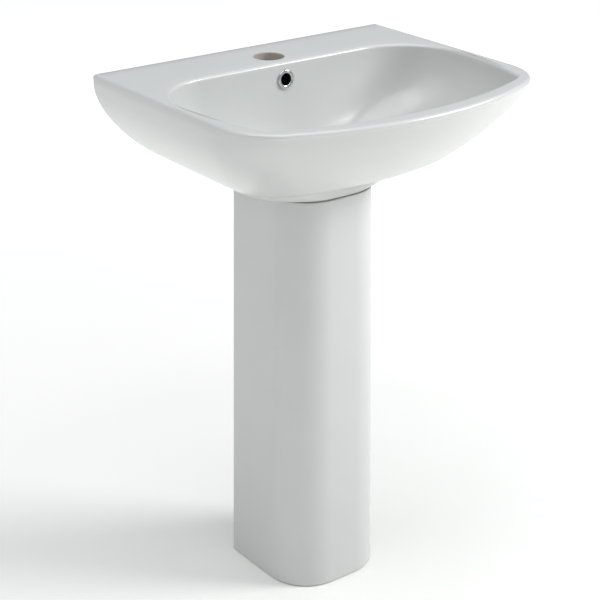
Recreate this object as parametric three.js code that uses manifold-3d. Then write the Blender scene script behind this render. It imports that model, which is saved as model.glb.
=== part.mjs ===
// Pedestal sink: a glazed ceramic basin on a full pedestal, with its overflow ring, push-plug
// waste, bottle trap, pipe to the wall and wall fixings. Millimetres, +Z up, floor at z = 0,
// +X to the right and +Y towards the wall, which the basin's flat back touches.
import * as THREE from "three";
import { mergeVertices } from "three/addons/utils/BufferGeometryUtils.js";
import Module from "manifold-3d";

// ---------- Driving dimensions ----------
const HEIGHT = 850; // floor to rim
const DEPTH = 462; // wall to the front of the rim
const SEAM_Z = 673.5; // underside of the basin, where the pedestal meets it
const WALL_Y = DEPTH / 2; // the frame's origin is under the middle of the object
const GAP = 0.3; // clearance between pieces that touch

// The hull runs down from the rim to the seam on a Bezier curve: half width, reach from the
// wall and height of its four control outlines.
const HULL_HALF = [277.5, 298, 163, 89.5];
const HULL_REACH = [462, 441.5, 295, 262];
const HULL_Z = [HEIGHT, 792, 677, SEAM_Z];
const HULL_BOW = 553; // radius of the bowed front
const RIM_CORNER = 96; // front corner radius at the rim
const SEAM_CORNER = 66; // front corner radius at the seam
const HULL_BACK_CORNER = 6;
// The neck above the seam: straight up at the front centre, and gone at the sides.
const NECK = { height: 18, blend: 26, backReach: 190 };
const RIM_EDGE = 5; // rounded edge along the rim
const EDGE_TURNS = [0, 30, 60, 90].map(THREE.MathUtils.degToRad); // facets of that edge
const HULL_WALL = 12;
const DECK_THICKNESS = 14;
const APRON = { thickness: 12, bottomZ: 762 };

// The bowl's opening, measured at the rim.
const BOWL = {
  half: 262, front: 433, back: 113, bow: 585, side: 561, sideReach: 213, corner: 24, backCorner: 108,
};
const BOWL_DEPTH = 135;
// How full the bowl's profile is: 2 is an ellipse, more has steeper walls and a flatter floor.
const BOWL_FULLNESS = { side: 2.4, front: 1.75 };
const BOWL_ROUNDNESS = 0.3; // how far the lower outlines round off
const BOWL_SHELL = 11;
const BOWL_MEAN_RADIUS = 190; // the lower outlines round off towards this circle
const BOWL_FLOOR_RADIUS = 40;

const DRAIN_REACH = 195; // wall to the waste's axis
const DRAIN_Y = WALL_Y - DRAIN_REACH;
const FLOOR_Z = HEIGHT - BOWL_DEPTH;
const DRAIN_RADIUS = 22.6;
const DRAIN_RECESS = { radius: 34, depth: 3.5 };
const DRAIN_BOSS = { radius: 46, bottomZ: 686 };

const TAP_HOLE = { reach: 69, radius: 24, edge: 1.5 };
const OVERFLOW = { z: 823, holeRadius: 11, ringRadius: 15, boreRadius: 9.6, tilt: 0.07 };
const CHANNEL = { width: 36, gap: 12, shell: 7, reach: 97, topZ: 830, turnZ: 715, endZ: 699 };

const PEDESTAL = {
  half: 88.5, back: 95, front: 263.7, bow: 900, corner: 66, wall: 12, flare: 1.094,
  returnWidth: 11, returnDepth: 15, footEdge: 3, topEdge: 1.5,
};
const GASKET_THICKNESS = 1.4;
const PEDESTAL_TOP = SEAM_Z - GASKET_THICKNESS - 2 * GAP;

const WASTE = { radius: 20.9, bore: 17.5, flange: 32, flangeThickness: 3, bottomZ: 640 };
const PLUG_TRAVEL = 8;
const PLUG_CAP_RADIUS = 24;
const PLUG_DOME = 3.2;
const TRAP_TUBE = { radius: 16, bore: 14.4, lip: 20.5, topZ: 636, bottomZ: 488 };
const TRAP_OUTLET_Z = 560;
const PIPE = { radius: 16, bore: 14.2, end: 145 }; // its end is measured from the trap's axis
const WALL_FIXING = { spread: 140, z: 790 };
const STUD = { radius: 5, reach: 58 };
const SLEEVE = { hole: 9, collar: 14, collarThickness: 2 };
const WALL_WASHER = { radius: 16, thickness: 2 };
const WALL_NUT = { flats: 17, thickness: 8 };

const fromWall = (reach) => WALL_Y - reach;
const FINE = 24; // facets of a large turned piece
const COARSE = 16; // facets of a small one

// ---------- Solids ----------
const wasm = await Module();
wasm.setup();

function solid(geometry) {
  const bare = geometry.index ? geometry.toNonIndexed() : geometry.clone();
  bare.deleteAttribute("normal");
  bare.deleteAttribute("uv");
  const merged = mergeVertices(bare, 1e-3);
  return new wasm.Manifold(
    new wasm.Mesh({
      numProp: 3,
      vertProperties: merged.attributes.position.array,
      triVerts: new Uint32Array(merged.index.array),
    }),
  );
}

// Drops the slivers that a cut leaves where two curved faces nearly touch.
function largestPart(body) {
  return body.decompose().reduce((most, part) => (part.volume() > most.volume() ? part : most));
}

function geometryOf(body) {
  const { vertProperties, triVerts } = body.getMesh();
  const geometry = new THREE.BufferGeometry();
  geometry.setAttribute("position", new THREE.BufferAttribute(vertProperties, 3));
  geometry.setIndex(new THREE.BufferAttribute(triVerts, 1));
  const flat = geometry.toNonIndexed();
  flat.computeVertexNormals();
  return flat;
}

// A box from its lowest corner to its highest.
function block(low, high) {
  const size = high.map((value, axis) => value - low[axis]);
  const box = new THREE.BoxGeometry(...size);
  return box.translate(...low.map((value, axis) => value + size[axis] / 2));
}

// A ring or a rod turned about Z, from a profile of [radius, z] points.
function turned(profile, facets = FINE) {
  const points = profile.map(([radius, z]) => new THREE.Vector2(radius, z));
  if (THREE.ShapeUtils.area(points) < 0) points.reverse();
  points.push(points[0].clone());
  return new THREE.LatheGeometry(points, facets).rotateX(Math.PI / 2);
}

// A rod or a drilled rod between two heights.
function rod(radius, lowZ, highZ, facets = COARSE) {
  return turned([[0, lowZ], [radius, lowZ], [radius, highZ], [0, highZ]], facets);
}

function tube(outer, inner, lowZ, highZ, facets = COARSE) {
  return turned([[inner, lowZ], [outer, lowZ], [outer, highZ], [inner, highZ]], facets);
}

// Turns a piece made along Z so that it lies along Y, pointing to the wall.
const towardsWall = (geometry) => geometry.rotateX(-Math.PI / 2);

function hexagonalPrism(acrossFlats, lowZ, highZ) {
  const radius = acrossFlats / Math.sqrt(3);
  const prism = new THREE.CylinderGeometry(radius, radius, highZ - lowZ, 6);
  return prism.rotateX(Math.PI / 2).translate(0, 0, (lowZ + highZ) / 2);
}

// Joins outlines of equal length, listed from the top down, into one closed skin.
function loft(rings) {
  const count = rings[0].length;
  const skin = new THREE.CylinderGeometry(1, 1, 1, count, rings.length - 1);
  const place = skin.attributes.position;
  for (let i = 0; i < place.count; i++) {
    const ring = rings[Math.round((0.5 - place.getY(i)) * (rings.length - 1))];
    const turn = Math.atan2(place.getX(i), place.getZ(i)) / (2 * Math.PI);
    const onRim = Math.hypot(place.getX(i), place.getZ(i)) > 0.5;
    const point = onRim ? ring[(Math.round(turn * count) + count) % count] : middleOf(ring);
    place.setXYZ(i, point.x, point.y, point.z);
  }
  return skin;
}

function middleOf(ring) {
  const sum = ring.reduce((total, point) => total.add(point), new THREE.Vector3());
  return sum.divideScalar(ring.length);
}

// ---------- Outlines ----------
function arc(centre, radius, from, to, steps) {
  return new THREE.EllipseCurve(centre.x, centre.y, radius, radius, from, to).getPoints(steps);
}

const bearing = (from, to) => Math.atan2(to.y - from.y, to.x - from.x);

// The point to the right of two centres at the given distances from them.
function meetingPoint(first, firstRadius, second, secondRadius) {
  const between = second.clone().sub(first);
  const span = between.length();
  const along = (firstRadius ** 2 - secondRadius ** 2 + span ** 2) / (2 * span);
  const across = Math.sqrt(firstRadius ** 2 - along ** 2);
  const unit = between.divideScalar(span);
  const base = first.clone().addScaledVector(unit, along);
  const sideways = new THREE.Vector2(-unit.y, unit.x).multiplyScalar(across);
  return sideways.y < 0 ? base.add(sideways) : base.sub(sideways);
}

// A D-shaped outline, anticlockwise from its front centre: a bowed front, rounded front
// corners, bulging sides, rounded back corners and a straight back. Reaches are from the wall.
function outline({ half, front, back, bow, side = 20000, sideReach = 200, corner, backCorner }, z) {
  const bowCentre = new THREE.Vector2(0, fromWall(front) + bow);
  const sideCentre = new THREE.Vector2(half - side, fromWall(sideReach));
  const cornerCentre = meetingPoint(bowCentre, bow - corner, sideCentre, side - corner);
  const backCentreY = fromWall(back) - backCorner;
  const backSpan = Math.sqrt((side - backCorner) ** 2 - (backCentreY - sideCentre.y) ** 2);
  const backCentre = new THREE.Vector2(sideCentre.x + backSpan, backCentreY);
  const cornerStart = bearing(bowCentre, cornerCentre);
  const cornerEnd = bearing(sideCentre, cornerCentre);
  const sideEnd = bearing(sideCentre, backCentre);
  const right = [
    ...arc(bowCentre, bow, -Math.PI / 2, cornerStart, 4).slice(0, -1),
    ...arc(cornerCentre, corner, cornerStart, cornerEnd, 5).slice(0, -1),
    ...arc(sideCentre, side, cornerEnd, sideEnd, 3).slice(0, -1),
    ...arc(backCentre, backCorner, sideEnd, Math.PI / 2, 4),
    new THREE.Vector2(0, fromWall(back)),
  ];
  const left = right.slice(1, -1).reverse().map((point) => new THREE.Vector2(-point.x, point.y));
  return [...right, ...left].map((point) => new THREE.Vector3(point.x, point.y, z));
}

// The same outline drawn in by a margin all round; a negative margin draws it out.
function inset(shape, margin) {
  return {
    ...shape,
    half: shape.half - margin,
    front: shape.front - margin,
    back: shape.back + margin,
    bow: shape.bow - margin,
    side: shape.side && shape.side - margin,
    corner: shape.corner - margin,
    backCorner: Math.max(shape.backCorner - margin, 1),
  };
}

// ---------- Basin ----------
// The hull, or its inner face when drawn in by a wall thickness.
function hull({ wall = 0, topZ = HEIGHT, floorRise = 0, back = 0 }) {
  const controls = HULL_HALF.map((half, i) => {
    const rise = [topZ - HEIGHT, -wall / 2, floorRise, floorRise][i];
    return new THREE.Vector3(half - wall, HULL_REACH[i] - wall, HULL_Z[i] + rise);
  });
  const curve = new THREE.CubicBezierCurve3(...controls);
  const steps = 12;
  const sectionAt = (step) => {
    const { x: half, y: front, z } = curve.getPoint(step / steps);
    const fullness = (half - HULL_HALF[3]) / (HULL_HALF[0] - HULL_HALF[3]);
    const corner = THREE.MathUtils.lerp(SEAM_CORNER, RIM_CORNER, fullness) - wall;
    return [{ half, front, back, bow: HULL_BOW, corner, backCorner: HULL_BACK_CORNER }, z];
  };
  const rings = [];
  if (wall === 0) {
    const [rim] = sectionAt(0);
    for (const turn of EDGE_TURNS) {
      const shape = inset({ ...rim, backCorner: RIM_EDGE + 2 }, RIM_EDGE * (1 - Math.sin(turn)));
      rings.push(outline(shape, HEIGHT - RIM_EDGE * (1 - Math.cos(turn))));
    }
    // The back stays flat against the wall all the way up.
    for (const point of rings.flat()) {
      if (point.y > fromWall(RIM_EDGE + 0.5)) point.y = WALL_Y;
    }
  } else rings.push(outline(...sectionAt(0)));
  for (let step = 1; step <= steps; step++) rings.push(outline(...sectionAt(step)));
  drawInNeck(rings, floorRise);
  return solid(loft(rings));
}

// Draws the lower outlines in to the seam's at the front, so that the hull rolls into a neck.
function drawInNeck(rings, rise) {
  const seam = rings[rings.length - 1];
  const seamHalf = Math.max(...seam.map((point) => point.x));
  const low = SEAM_Z + NECK.height + rise;
  for (const [place, target] of rings.flatMap((ring) => ring.map((point, i) => [point, seam[i]]))) {
    const frontness = target.y < fromWall(NECK.backReach) ? 1 - (target.x / seamHalf) ** 2 : 0;
    const share = frontness * (1 - THREE.MathUtils.smoothstep(place.z, low, low + NECK.blend));
    place.x = THREE.MathUtils.lerp(place.x, target.x, share);
    place.y = THREE.MathUtils.lerp(place.y, target.y, share);
  }
}

// The bowl, or its outer skin when grown by a shell thickness.
function bowl(shell = 0) {
  const drain = new THREE.Vector3(0, DRAIN_Y, 0);
  const rim = inset(BOWL, -shell);
  const depth = BOWL_DEPTH + shell;
  const rings = [outline(inset(rim, -RIM_EDGE), HEIGHT + 20)];
  for (const turn of EDGE_TURNS) {
    const grown = inset(rim, -RIM_EDGE * (1 - Math.sin(turn)));
    rings.push(outline(grown, HEIGHT - RIM_EDGE * (1 - Math.cos(turn))));
  }
  const steps = 8;
  for (let step = 1; step <= steps; step++) {
    const fall = Math.sin((step / steps) * (Math.PI / 2));
    const z = HEIGHT - RIM_EDGE - (depth - RIM_EDGE) * fall;
    rings.push(
      outline(rim, 0).map((point) => {
        const away = point.sub(drain);
        const frontness = Math.max(-away.y / away.length(), 0) ** 2;
        const fullness = THREE.MathUtils.lerp(BOWL_FULLNESS.side, BOWL_FULLNESS.front, frontness);
        const spread = Math.max(1 - fall ** fullness, 0) ** (1 / fullness);
        const roundness = BOWL_ROUNDNESS * (1 - spread);
        const reach = THREE.MathUtils.lerp(away.length(), BOWL_MEAN_RADIUS + shell, roundness);
        const radius = THREE.MathUtils.lerp(BOWL_FLOOR_RADIUS, reach, spread);
        return away.setLength(radius).add(drain).setZ(z);
      }),
    );
  }
  return solid(loft(rings));
}

// The overflow's channel behind the bowl: down from the overflow hole, then forward to the drain.
function channel(width, gap, topZ) {
  const section = new THREE.Shape();
  section.moveTo(-width / 2, -gap / 2);
  section.lineTo(width / 2, -gap / 2);
  section.lineTo(width / 2, gap / 2);
  section.lineTo(-width / 2, gap / 2);
  const corners = [
    [CHANNEL.reach, topZ],
    [CHANNEL.reach, CHANNEL.turnZ],
    [CHANNEL.reach + 3, CHANNEL.endZ],
    [DRAIN_REACH - DRAIN_RADIUS + 8, CHANNEL.endZ],
  ];
  const controls = corners.map(([reach, z]) => new THREE.Vector3(0, fromWall(reach), z));
  const path = new THREE.CubicBezierCurve3(...controls);
  return solid(new THREE.ExtrudeGeometry(section, { steps: 7, extrudePath: path, bevelEnabled: false }));
}

function tapHole() {
  const { radius, edge, reach } = TAP_HOLE;
  const lowZ = HEIGHT - DECK_THICKNESS - 0.5; // stays above the overflow's passage
  const profile = [[0, lowZ], [radius, lowZ]];
  for (let step = 0; step <= 3; step++) {
    const turn = (step / 3) * (Math.PI / 2);
    profile.push([radius + edge * (1 - Math.cos(turn)), HEIGHT - edge * (1 - Math.sin(turn))]);
  }
  profile.push([radius + edge, HEIGHT + 10], [0, HEIGHT + 10]);
  return solid(turned(profile).translate(0, fromWall(reach), 0));
}

// Where the bowl's back wall stands at the overflow's height.
const OVERFLOW_Y = fromWall(BOWL.back) - 1.2;

function basin() {
  const region = solid(block([-400, fromWall(250), 600], [400, fromWall(-20), HEIGHT]));
  const apronFront = [-400, fromWall(APRON.thickness), APRON.bottomZ];
  const apron = solid(block(apronFront, [400, fromWall(-30), HEIGHT + 10]));
  const mouthShape = {
    half: HULL_HALF[3] - HULL_WALL,
    front: HULL_REACH[3] - HULL_WALL,
    back: -20,
    bow: HULL_BOW,
    corner: SEAM_CORNER - HULL_WALL,
    backCorner: 1,
  };
  const mouth = solid(loft([SEAM_Z + 20, SEAM_Z - 20].map((z) => outline(mouthShape, z))));
  const boss = rod(DRAIN_BOSS.radius, DRAIN_BOSS.bottomZ, FLOOR_Z + 5, FINE);
  const drainBoss = solid(boss.translate(0, DRAIN_Y, 0));
  const { width, gap, shell } = CHANNEL;
  const casing = channel(width + 2 * shell, gap + 2 * shell, HEIGHT - 5);
  const lining = hull({ wall: HULL_WALL, topZ: HEIGHT - DECK_THICKNESS, floorRise: HULL_WALL, back: -20 });
  const hollow = largestPart(
    lining
      .intersect(region)
      .subtract(apron)
      .add(mouth)
      .subtract(bowl(BOWL_SHELL))
      .subtract(drainBoss)
      .subtract(casing),
  );
  const overflowHole = solid(
    towardsWall(rod(OVERFLOW.holeRadius, -30, BOWL.back - CHANNEL.reach))
      .rotateX(-OVERFLOW.tilt)
      .translate(0, OVERFLOW_Y, OVERFLOW.z),
  );
  const drain = solid(rod(DRAIN_RADIUS, 600, FLOOR_Z + 20, FINE).translate(0, DRAIN_Y, 0));
  const recess = solid(
    rod(DRAIN_RECESS.radius, FLOOR_Z - DRAIN_RECESS.depth, FLOOR_Z + 10, FINE).translate(0, DRAIN_Y, 0),
  );
  let body = hull({})
    .subtract(bowl())
    .subtract(hollow)
    .subtract(channel(width, gap, CHANNEL.topZ))
    .subtract(overflowHole)
    .subtract(drain)
    .subtract(recess)
    .subtract(tapHole());
  for (const side of [-1, 1]) {
    const hole = towardsWall(rod(SLEEVE.hole, -APRON.thickness - 5, 5));
    body = body.subtract(solid(hole.translate(side * WALL_FIXING.spread, WALL_Y, WALL_FIXING.z)));
  }
  return geometryOf(body);
}

function overflowRing() {
  const { ringRadius, boreRadius, holeRadius } = OVERFLOW;
  const middle = (ringRadius + boreRadius) / 2;
  const swell = (ringRadius - boreRadius) / 2;
  const profile = [[boreRadius, 8]];
  for (let step = 0; step <= 6; step++) {
    const turn = Math.PI + (step / 6) * Math.PI;
    profile.push([middle + swell * Math.cos(turn), 0.6 * swell * Math.sin(turn)]);
  }
  profile.push([ringRadius, 0.3], [holeRadius - GAP, 0.3], [holeRadius - GAP, 8]);
  return towardsWall(turned(profile));
}

// ---------- Pedestal and its gasket ----------
const pedestalShape = (margin = 0) => inset({ ...PEDESTAL, side: 20000, backCorner: 1.5 }, margin);

// The plan grows from the seam to the floor, about the middle of its back edge.
function spread(ring, z) {
  const growth = THREE.MathUtils.lerp(PEDESTAL.flare, 1, z / SEAM_Z);
  const backY = fromWall(PEDESTAL.back);
  return ring.map((point) => new THREE.Vector3(point.x * growth, backY + (point.y - backY) * growth, z));
}

function pedestal() {
  const { wall, footEdge, topEdge, returnWidth, returnDepth } = PEDESTAL;
  const levels = [
    [PEDESTAL_TOP, topEdge],
    [PEDESTAL_TOP - topEdge, 0],
    [footEdge * 2, 0],
    [footEdge / 2, footEdge / 3],
    [0, footEdge],
  ];
  const outer = loft(levels.map(([z, draw]) => spread(outline(pedestalShape(draw), z), z)));
  const room = { ...pedestalShape(wall), back: PEDESTAL.back + returnDepth };
  const inner = loft([SEAM_Z + 5, -5].map((z) => spread(outline(room, z), z)));
  const slotHalf = PEDESTAL.half - wall - returnWidth;
  const slotFront = [-slotHalf, fromWall(PEDESTAL.back + 40), -5];
  const slot = block(slotFront, [slotHalf, fromWall(PEDESTAL.back - 10), SEAM_Z + 5]);
  return geometryOf(solid(outer).subtract(solid(inner)).subtract(solid(slot)));
}

function seatGasket() {
  const lowZ = PEDESTAL_TOP + GAP;
  const levels = [lowZ + GASKET_THICKNESS, lowZ];
  const strip = (margin, back) => levels.map((z) => outline({ ...pedestalShape(margin), back }, z));
  const outer = solid(loft(strip(3, PEDESTAL.back + 3)));
  const inner = strip(9, PEDESTAL.back - 10);
  for (const point of inner[0]) point.z += 2;
  for (const point of inner[1]) point.z -= 2;
  return geometryOf(outer.subtract(solid(loft(inner))));
}

// ---------- Waste and plug, about the drain's axis ----------
const FLANGE_LOW = FLOOR_Z - DRAIN_RECESS.depth + 2; // top of the soft seal and a gap
const FLANGE_TOP = FLANGE_LOW + WASTE.flangeThickness;
const CARTRIDGE = { radius: 9.5, bore: 7, lowZ: 664, highZ: 700, guide: 4.4, floor: 3, lid: 3 };
const BACK_NUT = { flats: 58, lowZ: 663, highZ: 676.1 };
const HUB = { radius: 12.5, lowZ: 668, highZ: 676 };
const HEAD = { radius: 6.5, height: 4 };

function wasteBody() {
  const { radius, bore, flange, bottomZ } = WASTE;
  const shell = turned([
    [bore, bottomZ], [radius, bottomZ], [radius, FLANGE_LOW], [flange, FLANGE_LOW],
    [flange, FLANGE_TOP - 1.2], [flange - 1.5, FLANGE_TOP], [bore + 6, FLANGE_TOP], [bore, FLANGE_TOP - 2.6],
  ]);
  let body = solid(shell).add(solid(tube(HUB.radius, CARTRIDGE.radius + GAP, HUB.lowZ, HUB.highZ)));
  for (let spoke = 0; spoke < 3; spoke++) {
    const arm = block([HUB.radius - 1, -1.5, HUB.lowZ], [bore + 1, 1.5, HUB.highZ]);
    body = body.add(solid(arm.rotateZ(Math.PI / 6 + (spoke * 2 * Math.PI) / 3)));
  }
  const slotZ = [CHANNEL.endZ - 5, CHANNEL.endZ + 5];
  body = body.subtract(solid(block([-8, 12, slotZ[0]], [8, 30, slotZ[1]])));
  return geometryOf(body.subtract(solid(block([-8, -30, slotZ[0]], [8, -12, slotZ[1]]))));
}

const wasteFlangeSeal = () => {
  const lowZ = FLOOR_Z - DRAIN_RECESS.depth + GAP;
  return tube(WASTE.flange - 1, WASTE.radius + 1, lowZ, FLANGE_LOW - GAP, FINE);
};

function wasteConeSeal() {
  const highZ = DRAIN_BOSS.bottomZ - GAP;
  const inner = WASTE.radius + GAP;
  return turned([
    [inner, highZ - 9], [inner + 7, highZ - 9], [inner + 11, highZ - 5], [inner + 11, highZ], [inner, highZ],
  ]);
}

function hexagonalNut(acrossFlats, lowZ, highZ, bore, lip) {
  const foot = lip
    ? [[0, lowZ - 1], [lip.bore, lowZ - 1], [lip.bore, lip.z], [bore, lip.z]]
    : [[0, lowZ - 1], [bore, lowZ - 1]];
  const profile = [...foot, [bore, highZ + 1], [0, highZ + 1]];
  return geometryOf(solid(hexagonalPrism(acrossFlats, lowZ, highZ)).subtract(solid(turned(profile))));
}

function wasteBackNut() {
  const { flats, lowZ, highZ } = BACK_NUT;
  return hexagonalNut(flats, lowZ, highZ, WASTE.radius + GAP, null);
}

function plugCap() {
  const lowZ = FLANGE_TOP + PLUG_TRAVEL + 2.4;
  const profile = [[0, lowZ], [PLUG_CAP_RADIUS - 1, lowZ], [PLUG_CAP_RADIUS, lowZ + 1]];
  for (let step = 1; step <= 5; step++) {
    const turn = (step / 5) * (Math.PI / 2);
    profile.push([PLUG_CAP_RADIUS * Math.cos(turn), lowZ + 1.5 + PLUG_DOME * Math.sin(turn)]);
  }
  profile[profile.length - 1][0] = 0;
  return turned(profile);
}

const plugSeal = () => {
  const lowZ = FLANGE_TOP + PLUG_TRAVEL + GAP;
  return turned([[11, lowZ + 0.5], [20, lowZ], [22, lowZ + 0.5], [22, lowZ + 1.8], [11, lowZ + 1.8]]);
};

function plugStem() {
  const capZ = FLANGE_TOP + PLUG_TRAVEL + 2.4 - GAP;
  const headZ = CARTRIDGE.highZ - CARTRIDGE.lid - GAP;
  return turned([
    [0, headZ - HEAD.height], [HEAD.radius, headZ - HEAD.height], [HEAD.radius, headZ], [4, headZ],
    [4, capZ - 2], [10, capZ - 1.5], [10, capZ], [0, capZ],
  ], COARSE);
}

function plugCartridge() {
  const { radius, bore, lowZ, highZ, guide, floor, lid } = CARTRIDGE;
  const shoulder = HUB.highZ + GAP;
  return turned([
    [0, lowZ], [radius, lowZ], [radius, shoulder], [HUB.radius, shoulder], [HUB.radius, shoulder + 3],
    [radius, shoulder + 3], [radius, highZ], [guide, highZ], [guide, highZ - lid], [bore, highZ - lid],
    [bore, lowZ + floor], [0, lowZ + floor],
  ], COARSE);
}

class Helix extends THREE.Curve {
  constructor(radius, lowZ, highZ, turns) {
    super();
    Object.assign(this, { radius, lowZ, highZ, turns });
  }

  getPoint(part, target = new THREE.Vector3()) {
    const angle = part * this.turns * 2 * Math.PI;
    const z = THREE.MathUtils.lerp(this.lowZ, this.highZ, part);
    return target.set(this.radius * Math.cos(angle), this.radius * Math.sin(angle), z);
  }
}

function plugSpring() {
  const wire = 0.6;
  const lowZ = CARTRIDGE.lowZ + CARTRIDGE.floor + GAP + wire;
  const highZ = CARTRIDGE.highZ - CARTRIDGE.lid - HEAD.height - 2 * GAP - wire;
  const section = new THREE.Shape().absarc(0, 0, wire, 0, 2 * Math.PI);
  const turns = 6;
  return new THREE.ExtrudeGeometry(section, {
    steps: turns * 8,
    curveSegments: 5,
    extrudePath: new Helix(5.5, lowZ, highZ, turns),
    bevelEnabled: false,
  });
}

// ---------- Bottle trap, about the same axis ----------
const COLLAR = { radius: 22, bore: 16.6, lowZ: 588, highZ: 602 };
const TRAP = { radius: 34, bore: 29, roofZ: 575, lowZ: 525.5, thread: 32 };
const CUP = { radius: 36, bore: 29.5, seatZ: 522, topZ: 539, lowZ: 454, wall: 3.5 };
const BRANCH = { radius: 19, bore: 15, end: 56 }; // side outlet, measured from the trap's axis
const COUPLING_NUT = { flats: 52, lowZ: 627, highZ: 652, lipZ: 632 };
const BODY_NUT = { radius: 27, lowZ: 591, highZ: 612, bevel: 3, lipZ: 606.5 };

function couplingNut() {
  const { flats, lowZ, highZ, lipZ } = COUPLING_NUT;
  return hexagonalNut(flats, lowZ, highZ, WASTE.radius + GAP, { bore: TRAP_TUBE.radius + 0.5, z: lipZ });
}

function couplingWasher() {
  return tube(TRAP_TUBE.lip, TRAP_TUBE.bore + 1, TRAP_TUBE.topZ + GAP, WASTE.bottomZ - GAP);
}

function trapInletTube() {
  const { radius, bore, topZ, bottomZ, lip } = TRAP_TUBE;
  return turned([
    [bore, bottomZ], [radius, bottomZ], [radius, topZ - 3], [lip, topZ - 3], [lip, topZ], [bore, topZ],
  ]);
}

function bodyNut() {
  const { radius, lowZ, highZ, bevel, lipZ } = BODY_NUT;
  const bore = COLLAR.radius + GAP;
  const neck = TRAP_TUBE.radius + 0.5;
  return turned([
    [bore, lowZ], [radius, lowZ], [radius, highZ - bevel], [radius - 2, highZ], [neck, highZ],
    [neck, lipZ], [bore, lipZ],
  ]);
}

function bodyWasher() {
  const lowZ = COLLAR.highZ + GAP;
  return tube(COLLAR.radius - GAP, TRAP_TUBE.radius + GAP, lowZ, BODY_NUT.lipZ - GAP);
}

function trapBody() {
  const { radius, bore, roofZ, lowZ, thread } = TRAP;
  const shell = solid(turned([
    [bore, lowZ], [thread, lowZ], [thread, CUP.topZ + 1], [radius, CUP.topZ + 1], [radius, roofZ],
    [radius - 4, roofZ + 8], [COLLAR.radius, COLLAR.lowZ], [COLLAR.radius, COLLAR.highZ],
    [COLLAR.bore, COLLAR.highZ], [COLLAR.bore, COLLAR.lowZ - 6], [bore - 3, roofZ],
  ]));
  const branch = towardsWall(rod(BRANCH.radius, radius - 8, BRANCH.end, FINE)).translate(0, 0, TRAP_OUTLET_Z);
  const core = rod(BRANCH.bore, bore - 6, BRANCH.end + 2, FINE);
  const passage = towardsWall(core).translate(0, 0, TRAP_OUTLET_Z);
  const room = rod(bore, CUP.topZ + 2, roofZ - 0.5, FINE);
  return geometryOf(shell.add(solid(branch).subtract(solid(room))).subtract(solid(passage)));
}

function trapCup() {
  const { radius, bore, seatZ, topZ, lowZ, wall } = CUP;
  return turned([
    [0, lowZ], [bore - 6, lowZ], [bore + wall, lowZ + 10], [bore + wall, seatZ - 8],
    [radius, seatZ - 4], [radius, topZ], [TRAP.thread + GAP, topZ], [TRAP.thread + GAP, seatZ],
    [bore, seatZ], [bore, lowZ + 12], [bore - 8, lowZ + wall], [0, lowZ + wall],
  ]);
}

const trapCupSeal = () => tube(TRAP.thread - 0.2, CUP.bore + 0.3, CUP.seatZ + GAP, TRAP.lowZ - GAP);

// ---------- Outlet, along the pipe's axis from the trap to the wall ----------
const PIPE_START = BRANCH.end + 3;
const OUTLET_NUT_FLATS = 46;

function outletNut() {
  return hexagonalNut(OUTLET_NUT_FLATS, BRANCH.end - 14, BRANCH.end + 8, BRANCH.radius + GAP, null);
}

function outletWasher() {
  return tube(BRANCH.radius - GAP, PIPE.bore + 1, BRANCH.end + GAP, PIPE_START - GAP);
}

// The pipe ends short of the wall, where the room's own waste pipe takes over.
function outletPipe() {
  const { radius, bore, end } = PIPE;
  const lip = BRANCH.radius - 0.5;
  return turned([
    [bore, PIPE_START], [lip, PIPE_START], [lip, PIPE_START + 2], [radius, PIPE_START + 2],
    [radius, end], [bore, end],
  ]);
}

// ---------- Wall fixings, along an axis out of the wall ----------
const SLEEVE_FACE = APRON.thickness + GAP + SLEEVE.collarThickness;
const WASHER_FACE = SLEEVE_FACE + GAP + WALL_WASHER.thickness;

function wallStud() {
  const { radius, reach } = STUD;
  return turned([[0, GAP], [radius, GAP], [radius, reach - 1.5], [radius - 1.5, reach], [0, reach]], COARSE);
}

function wallSleeve() {
  const bore = STUD.radius + GAP;
  const body = SLEEVE.hole - GAP;
  const shoulder = APRON.thickness + GAP;
  return turned([
    [bore, GAP], [body, GAP], [body, shoulder], [SLEEVE.collar, shoulder], [SLEEVE.collar, SLEEVE_FACE],
    [bore, SLEEVE_FACE],
  ], COARSE);
}

function wallWasher() {
  return tube(WALL_WASHER.radius, STUD.radius + GAP, SLEEVE_FACE + GAP, WASHER_FACE);
}

function wallNut() {
  const lowZ = WASHER_FACE + GAP;
  return hexagonalNut(WALL_NUT.flats, lowZ, lowZ + WALL_NUT.thickness, STUD.radius + GAP, null);
}

// ---------- Assembly ----------
function finish(color, roughness, metalness) {
  return () => new THREE.MeshStandardMaterial({ color, roughness, metalness });
}

const CERAMIC = finish(0xe9ecea, 0.12, 0);
const CHROME = finish(0xd8dadc, 0.12, 1);
const BRASS = finish(0xc9a75a, 0.3, 1);
const STEEL = finish(0xb4b8bb, 0.35, 1);
const WHITE_PLASTIC = finish(0xeceded, 0.35, 0);
const GREY_PLASTIC = finish(0x9a9da0, 0.5, 0);
const RUBBER = finish(0x26282a, 0.8, 0);

function piece(name, geometry, material) {
  const mesh = new THREE.Mesh(geometry, material());
  mesh.name = name;
  return mesh;
}

const sink = new THREE.Group();
sink.add(
  piece("basin", basin(), CERAMIC),
  piece("pedestal", pedestal(), CERAMIC),
  piece("seat_gasket", seatGasket(), RUBBER),
);

const ring = piece("overflow_ring", overflowRing(), CHROME);
ring.position.set(0, OVERFLOW_Y - GAP, OVERFLOW.z);
ring.rotation.x = -OVERFLOW.tilt;
sink.add(ring);

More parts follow.
